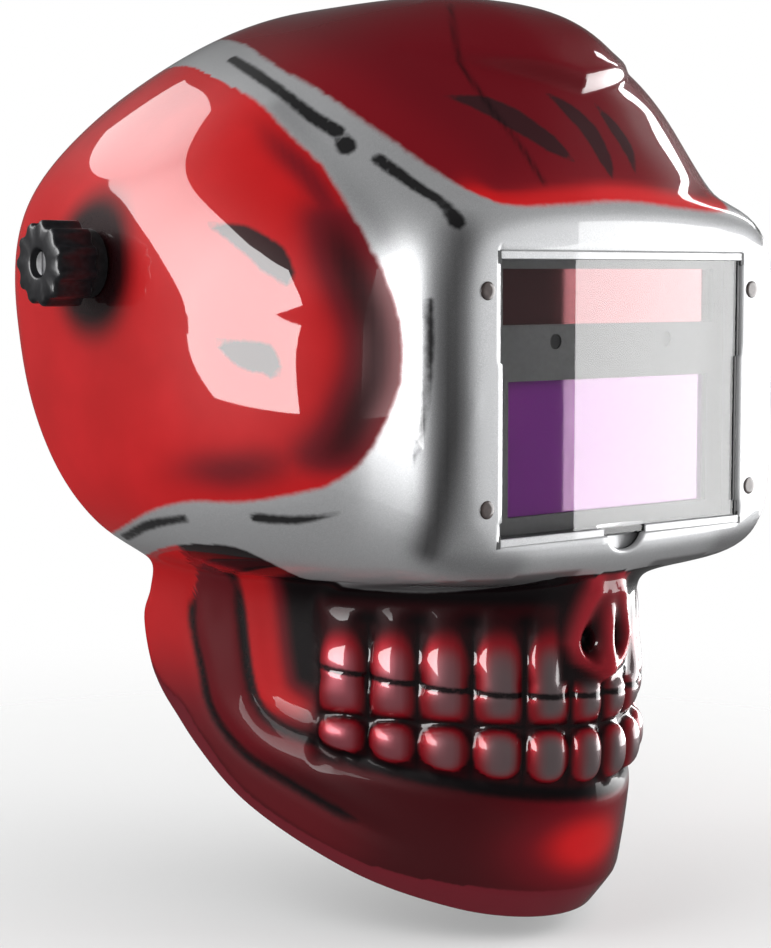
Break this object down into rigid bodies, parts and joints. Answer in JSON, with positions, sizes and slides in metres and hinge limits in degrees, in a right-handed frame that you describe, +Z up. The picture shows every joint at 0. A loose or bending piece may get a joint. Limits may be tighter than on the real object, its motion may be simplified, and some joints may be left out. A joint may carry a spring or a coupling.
{
  "type": "welding helmet",
  "caption": "Auto-darkening welding helmet with an airbrushed skull shell, flip-up tilt pivots, filter cartridge with controls and a ratchet headgear.",
  "frame": {"origin": "on the tilt axis through both pivots, at the helmet's mid-plane", "axes": "+X to the wearer's left along the tilt axis, -Y to the front, +Z up"},
  "size_m": [0.276, 0.2631, 0.3115],
  "materials": {
    "strap_plastic": "flexible moulded band",
    "brow_fabric": "black terry pad",
    "bolt_steel": "zinc plated",
    "friction_rubber": "matt",
    "painted_shell": "gloss airbrushed paint",
    "clear_plate": "clear polycarbonate",
    "pin_metal": "dull pin heads",
    "black_plastic": "fine moulded grain",
    "lcd_glass": "coated filter glass",
    "solar": "dark maroon cell",
    "board_green": "laminate",
    "sensor_lens": "dark lens",
    "cell_steel": "coin cell can",
    "knob_plastic": "satin moulded"
  },
  "bodies": {
    "headgear": {"front_headband": "strap_plastic", "sweatband": "brow_fabric", "left_crown_strap": "strap_plastic", "right_crown_strap": "strap_plastic", "crown_strap_pegs": "strap_plastic", "left_pivot_arm": "strap_plastic", "right_pivot_arm": "strap_plastic", "left_pivot_bolt": "bolt_steel", "right_pivot_bolt": "bolt_steel", "left_tilt_disc": "strap_plastic", "right_tilt_disc": "strap_plastic", "left_friction_washer": "friction_rubber", "right_friction_washer": "friction_rubber", "left_pivot_bush": "strap_plastic", "right_pivot_bush": "strap_plastic"},
    "helmet": {"shell": "painted_shell", "outer_cover_plate": "clear_plate", "inner_cover_plate": "clear_plate", "frame_pins": "pin_metal", "filter_case": "black_plastic", "filter_back": "black_plastic", "lcd_filter": "lcd_glass", "solar_cell": "solar", "circuit_board": "board_green", "arc_sensors": "sensor_lens", "batteries": "cell_steel", "filter_tray": "black_plastic"},
    "shade_dial": {"shade_dial": "knob_plastic"},
    "sensitivity_dial": {"sensitivity_dial": "knob_plastic"},
    "delay_dial": {"delay_dial": "knob_plastic"},
    "test_button": {"test_button": "knob_plastic"},
    "left_latch": {"left_latch": "knob_plastic"},
    "right_latch": {"right_latch": "knob_plastic"},
    "left_side_knob": {"left_side_knob": "knob_plastic"},
    "right_side_knob": {"right_side_knob": "knob_plastic"},
    "rear_unit": {"rear_band": "strap_plastic", "ratchet_housing": "black_plastic", "nape_pad": "brow_fabric"},
    "ratchet_knob": {"ratchet_knob": "knob_plastic", "ratchet_pinion": "black_plastic"}
  },
  "joints": [
    {"name": "shell_tilt", "type": "hinge", "parent": "headgear", "child": "helmet", "pos_m": [0, 0, 0], "axis": [-1, 0, 0], "range_deg": [0, 48]},
    {"name": "left_side_knob_turn", "type": "hinge", "parent": "headgear", "child": "left_side_knob", "pos_m": [0.13, 0, 0], "axis": [1, 0, 0], "continuous": true},
    {"name": "right_side_knob_turn", "type": "hinge", "parent": "headgear", "child": "right_side_knob", "pos_m": [-0.13, 0, 0], "axis": [-1, 0, 0], "continuous": true},
    {"name": "headband_size", "type": "slide", "parent": "headgear", "child": "rear_unit", "axis": [0, 0.9511, -0.309], "range_m": [-0.008, 0.008]},
    {"name": "ratchet_knob_turn", "type": "hinge", "parent": "rear_unit", "child": "ratchet_knob", "pos_m": [0, 0.09701, -0.03152], "axis": [0, 0.9511, -0.309], "range_deg": [-58, 58]},
    {"name": "shade_dial_turn", "type": "hinge", "parent": "helmet", "child": "shade_dial", "pos_m": [0.036, -0.1175, -0.018], "axis": [0, 1, 0], "range_deg": [-135, 135]},
    {"name": "sensitivity_dial_turn", "type": "hinge", "parent": "helmet", "child": "sensitivity_dial", "pos_m": [0, -0.1175, -0.018], "axis": [0, 1, 0], "range_deg": [-135, 135]},
    {"name": "delay_dial_turn", "type": "hinge", "parent": "helmet", "child": "delay_dial", "pos_m": [-0.036, -0.1175, -0.018], "axis": [0, 1, 0], "range_deg": [-135, 135]},
    {"name": "test_button_press", "type": "slide", "parent": "helmet", "child": "test_button", "axis": [0, -1, 0], "range_m": [0, 0.0015], "stiffness_N_per_m": 400, "springref_m": -0.0005},
    {"name": "left_latch_turn", "type": "hinge", "parent": "helmet", "child": "left_latch", "pos_m": [0.0596, -0.1175, -0.042], "axis": [0, 1, 0], "range_deg": [0, 90]},
    {"name": "right_latch_turn", "type": "hinge", "parent": "helmet", "child": "right_latch", "pos_m": [-0.0596, -0.1175, -0.042], "axis": [0, -1, 0], "range_deg": [0, 90]}
  ],
  "couplings": [
    {"joint": "ratchet_knob_turn", "follows": "headband_size", "rad_per_m": 125}
  ]
}
